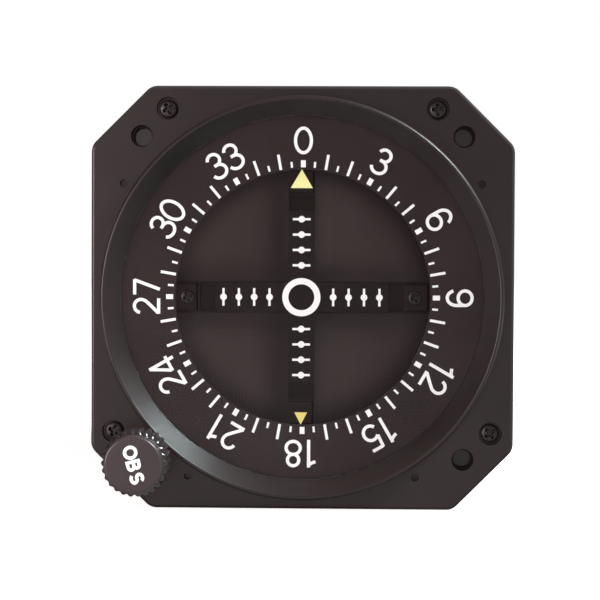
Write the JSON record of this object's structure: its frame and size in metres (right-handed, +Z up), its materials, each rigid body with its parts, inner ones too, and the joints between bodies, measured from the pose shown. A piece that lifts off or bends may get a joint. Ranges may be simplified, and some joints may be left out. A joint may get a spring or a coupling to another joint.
{
  "type": "course deviation indicator",
  "caption": "Square-bezel panel instrument with a rotating compass card round a fixed dotted mask, two sliding needles, flags and a course knob.",
  "frame": {"origin": "on the dial axis, in the plane of the bezel flange face that lies against the panel", "axes": "-Y out of the dial towards the pilot, +Y back along the case, +Z up with the upper index, +X to the right seen from the front"},
  "size_m": [0.0826, 0.1579, 0.0826],
  "materials": {
    "bezel_finish": "matt black coated casting, fine texture",
    "case_finish": "black anodised sheet, satin",
    "frame_metal": "clear anodised, machined",
    "gear_metal": "machined, dry",
    "steel": "plain, machined",
    "screw_steel": "passivated, cross recess",
    "window_glass": "polished with anti-glare coating",
    "seal_rubber": "matt moulded",
    "card_black": "matt black with white printed scale",
    "mask_black": "matt black, white and yellow print",
    "knob_plastic": "dark grey moulded, fine grain",
    "needle_white": "white enamel",
    "flag_paint": "matt orange-red enamel",
    "arrow_paint": "matt white enamel",
    "coil_copper": "enamelled copper wire",
    "magnet": "ground, plated",
    "bobbin": "natural moulded",
    "board": "green solder resist",
    "electronics": "moulded black packages",
    "connector_steel": "tin plated, drawn",
    "connector_black": "moulded with sockets"
  },
  "bodies": {
    "root": {"bezel": "bezel_finish", "bezel_screws": "screw_steel", "board_components": "electronics", "carrier_posts": "frame_metal", "case": "case_finish", "connector_board": "board", "connector_insert": "connector_black", "connector_shell": "connector_steel", "converter_board": "board", "cover_screws": "screw_steel", "dial_frame": "case_finish", "dial_mask": "mask_black", "drive_brackets": "frame_metal", "driver_board": "board", "flag_actuators": "coil_copper", "frame_posts": "frame_metal", "front_glass": "window_glass", "glass_gasket": "seal_rubber", "glass_retainer": "steel", "guide_rods": "steel", "idler_pin": "steel", "jackposts": "connector_steel", "layshaft_bushings": "gear_metal", "magnet_bars": "magnet", "mask_carrier": "frame_metal", "mask_screws": "screw_steel", "mechanism_plate": "frame_metal", "mounting_inserts": "steel", "plate_spacers": "frame_metal", "rear_cover": "case_finish", "rear_rods": "frame_metal", "resolver_body": "frame_metal", "resolver_cleats": "screw_steel", "resolver_plate": "frame_metal", "shaft_bushing": "gear_metal"},
    "course_ring": {"course_card": "card_black", "card_gear": "frame_metal"},
    "knob_group": {"knob": "knob_plastic", "knob_set_screw": "screw_steel", "knob_shaft": "steel", "knob_pinion": "gear_metal", "shaft_clip": "steel"},
    "idler": {"idler_gear": "gear_metal"},
    "layshaft_group": {"layshaft": "steel", "layshaft_front_pinion": "gear_metal", "layshaft_rear_pinion": "gear_metal"},
    "resolver_rotor": {"resolver_gear": "frame_metal", "resolver_shaft": "steel"},
    "course_pointer": {"course_needle": "needle_white", "course_carriage": "bobbin", "course_coil": "coil_copper"},
    "glideslope_pointer": {"glideslope_needle": "needle_white", "glideslope_carriage": "bobbin", "glideslope_coil": "coil_copper"},
    "glideslope_warning": {"glideslope_flag": "flag_paint"},
    "to_arrow": {"to_vane": "arrow_paint"},
    "navigation_warning": {"navigation_flag": "flag_paint"},
    "from_arrow": {"from_vane": "arrow_paint"}
  },
  "joints": [
    {"name": "card_turn", "type": "hinge", "parent": "root", "child": "course_ring", "pos_m": [0, 0.006, 0], "axis": [0, -1, 0], "continuous": true},
    {"name": "knob_turn", "type": "hinge", "parent": "root", "child": "knob_group", "pos_m": [-0.03143, 0.0072, -0.03143], "axis": [0, -1, 0], "continuous": true},
    {"name": "idler_turn", "type": "hinge", "parent": "root", "child": "idler", "pos_m": [-0.02392, 0.0072, -0.03146], "axis": [0, -1, 0], "continuous": true},
    {"name": "layshaft_turn", "type": "hinge", "parent": "root", "child": "layshaft_group", "pos_m": [0.0283, 0.0072, -0.0283], "axis": [0, -1, 0], "continuous": true},
    {"name": "resolver_turn", "type": "hinge", "parent": "root", "child": "resolver_rotor", "pos_m": [0, 0.03325, 0], "axis": [0, -1, 0], "continuous": true},
    {"name": "course_slide", "type": "slide", "parent": "root", "child": "course_pointer", "axis": [1, 0, 0], "range_m": [0, 0.042], "stiffness_N_per_m": 1, "springref_m": -0.03},
    {"name": "glideslope_slide", "type": "slide", "parent": "root", "child": "glideslope_pointer", "axis": [0, 0, -1], "range_m": [0, 0.042], "stiffness_N_per_m": 1, "springref_m": -0.03},
    {"name": "glideslope_flag_swing", "type": "hinge", "parent": "root", "child": "glideslope_warning", "pos_m": [0.01895, 0.01345, -0.0105], "axis": [0, 1, 0], "range_deg": [0, 32], "stiffness_Nm_per_rad": 0.00002, "springref_deg": -34.38},
    {"name": "to_swing", "type": "hinge", "parent": "root", "child": "to_arrow", "pos_m": [0.0105, 0.01345, 0.01895], "axis": [0, 1, 0], "range_deg": [0, 32], "stiffness_Nm_per_rad": 0.00002, "springref_deg": -34.38},
    {"name": "navigation_flag_swing", "type": "hinge", "parent": "root", "child": "navigation_warning", "pos_m": [-0.01895, 0.01345, 0.0105], "axis": [0, 1, 0], "range_deg": [0, 32], "stiffness_Nm_per_rad": 0.00002, "springref_deg": -34.38},
    {"name": "from_swing", "type": "hinge", "parent": "root", "child": "from_arrow", "pos_m": [-0.0105, 0.01345, -0.01895], "axis": [0, 1, 0], "range_deg": [0, 32], "stiffness_Nm_per_rad": 0.00002, "springref_deg": -34.38}
  ],
  "couplings": [
    {"joint": "knob_turn", "follows": "card_turn", "ratio": 11.667},
    {"joint": "idler_turn", "follows": "card_turn", "ratio": -7.7778},
    {"joint": "layshaft_turn", "follows": "card_turn", "ratio": -7},
    {"joint": "resolver_turn", "follows": "card_turn", "ratio": 1}
  ]
}
